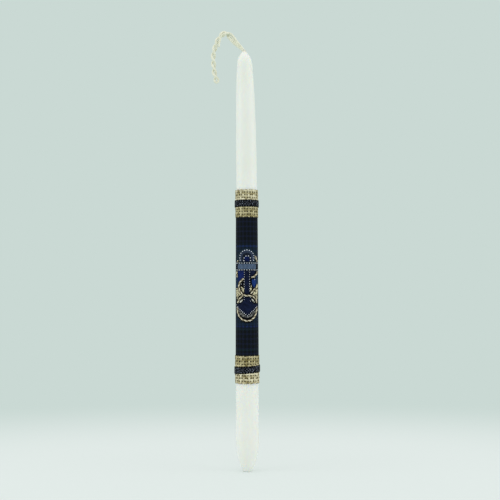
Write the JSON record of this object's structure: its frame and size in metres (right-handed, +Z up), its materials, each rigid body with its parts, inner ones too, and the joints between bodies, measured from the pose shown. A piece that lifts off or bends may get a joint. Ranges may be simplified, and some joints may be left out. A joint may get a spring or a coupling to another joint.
{
  "type": "easter candle",
  "caption": "Tall white taper candle with a loose cotton wick, its middle wrapped in dark tartan cloth with jute and braid bands and an appliqued anchor.",
  "frame": {"origin": "middle of the small flat foot of the candle, where butt_grip begins", "axes": "+Z up along the candle to the wick, -Y is the front with the anchor badge, the free wick arches over to -X"},
  "size_m": [0.0445, 0.0253, 0.4171],
  "materials": {
    "wax": "smooth satin white wax, slightly translucent",
    "wick": "unbleached cotton, two strands twisted together",
    "tartan": "dark navy, green and black tartan cotton",
    "jute": "coarse open-weave natural jute",
    "braid": "near-black navy flat braid",
    "backing": "near-black cloth",
    "slate_felt": "slate-blue felt",
    "ring_felt": "dark slate felt",
    "navy_felt": "dark navy felt",
    "royal_felt": "royal-blue felt",
    "cream_felt": "cream felt",
    "silver_felt": "silver-grey felt",
    "gold_cord": "twisted pale-gold cord"
  },
  "bodies": {
    "root": {"candle_body": "wax", "wick_core": "wick", "wick_free": "wick", "tartan_sleeve": "tartan", "lower_jute_band": "jute", "upper_jute_band": "jute", "lower_braid_trim": "braid", "upper_braid_trim": "braid", "badge_backing": "backing", "anchor_ring": "ring_felt", "ring_inlay": "ring_felt", "ring_window": "royal_felt", "anchor_stock": "slate_felt", "anchor_shank": "navy_felt", "anchor_crown": "navy_felt", "crescent_patch": "silver_felt", "blue_field_left": "royal_felt", "blue_field_right": "royal_felt", "navy_field_right": "navy_felt", "cream_field_left": "cream_felt", "cream_field_right": "cream_felt", "cream_patch_left": "cream_felt", "cream_patch_right": "cream_felt", "crown_fill_left": "silver_felt", "crown_fill_right": "silver_felt", "cord_main": "gold_cord", "cord_upper_end": "gold_cord", "cord_left": "gold_cord", "cord_loop": "gold_cord", "cord_tail": "gold_cord", "cord_side_left": "gold_cord", "cord_ring_left": "gold_cord", "cord_ring_right": "gold_cord"}
  },
  "joints": []
}
